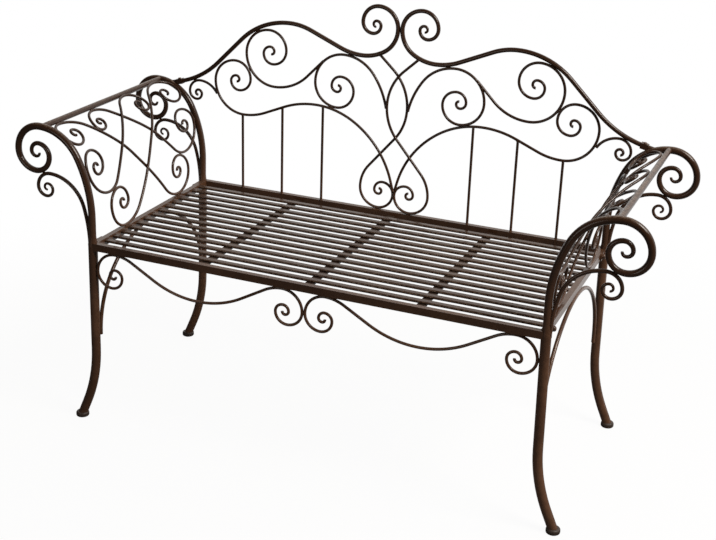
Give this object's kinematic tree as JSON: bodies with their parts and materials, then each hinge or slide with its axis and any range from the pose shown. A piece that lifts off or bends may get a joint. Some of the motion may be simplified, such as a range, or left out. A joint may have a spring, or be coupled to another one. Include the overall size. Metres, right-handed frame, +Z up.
{
  "type": "garden bench",
  "caption": "Free-standing scrolled metal garden bench with flared legs, slatted seat, rolled arms and a waved scrollwork back.",
  "frame": {"origin": "on the ground under the middle of the seat, halfway between the front and rear legs", "axes": "+Z up, +Y to the rear, +X to the right of a viewer who faces the bench's front"},
  "size_m": [1.3544, 0.504, 0.8984],
  "materials": {
    "coated_steel": "glossy dark bronze-brown powder coat",
    "foot_caps": "satin dark brown cap",
    "fasteners": "satin dark brown"
  },
  "bodies": {
    "root": {"apron_scroll_left": "coated_steel", "apron_scroll_right": "coated_steel", "arch_brace_left": "coated_steel", "arch_brace_right": "coated_steel", "arm_rail_left": "coated_steel", "arm_rail_right": "coated_steel", "c_scroll_left": "coated_steel", "c_scroll_right": "coated_steel", "edge_scroll_left": "coated_steel", "edge_scroll_right": "coated_steel", "front_foot_left": "foot_caps", "front_foot_right": "foot_caps", "front_post_left": "coated_steel", "front_post_right": "coated_steel", "front_prop_scroll_left": "coated_steel", "front_prop_scroll_right": "coated_steel", "front_seat_rail": "coated_steel", "ogee_bar_left": "coated_steel", "ogee_bar_right": "coated_steel", "panel_long_bar_inner_left": "coated_steel", "panel_long_bar_inner_right": "coated_steel", "panel_long_bar_outer_left": "coated_steel", "panel_long_bar_outer_right": "coated_steel", "panel_short_bar_inner_left": "coated_steel", "panel_short_bar_inner_right": "coated_steel", "panel_short_bar_outer_left": "coated_steel", "panel_short_bar_outer_right": "coated_steel", "rear_foot_left": "foot_caps", "rear_foot_right": "foot_caps", "rear_post_left": "coated_steel", "rear_post_right": "coated_steel", "rear_prop_scroll_left": "coated_steel", "rear_prop_scroll_right": "coated_steel", "rear_seat_rail": "coated_steel", "s_scroll_left": "coated_steel", "s_scroll_right": "coated_steel", "seat_bearer_left": "coated_steel", "seat_bearer_middle": "coated_steel", "seat_bearer_right": "coated_steel", "seat_bolts": "fasteners", "seat_lugs": "coated_steel", "seat_slats": "coated_steel", "seat_washers": "fasteners", "side_seat_rail_left": "coated_steel", "side_seat_rail_right": "coated_steel", "spindle_1_left": "coated_steel", "spindle_1_right": "coated_steel", "spindle_2_left": "coated_steel", "spindle_2_right": "coated_steel", "spindle_3_left": "coated_steel", "spindle_3_right": "coated_steel", "top_rail_left": "coated_steel", "top_rail_right": "coated_steel", "top_rail_screws": "fasteners", "top_rail_sleeves": "coated_steel", "wave_rail_left": "coated_steel", "wave_rail_right": "coated_steel"}
  },
  "joints": []
}
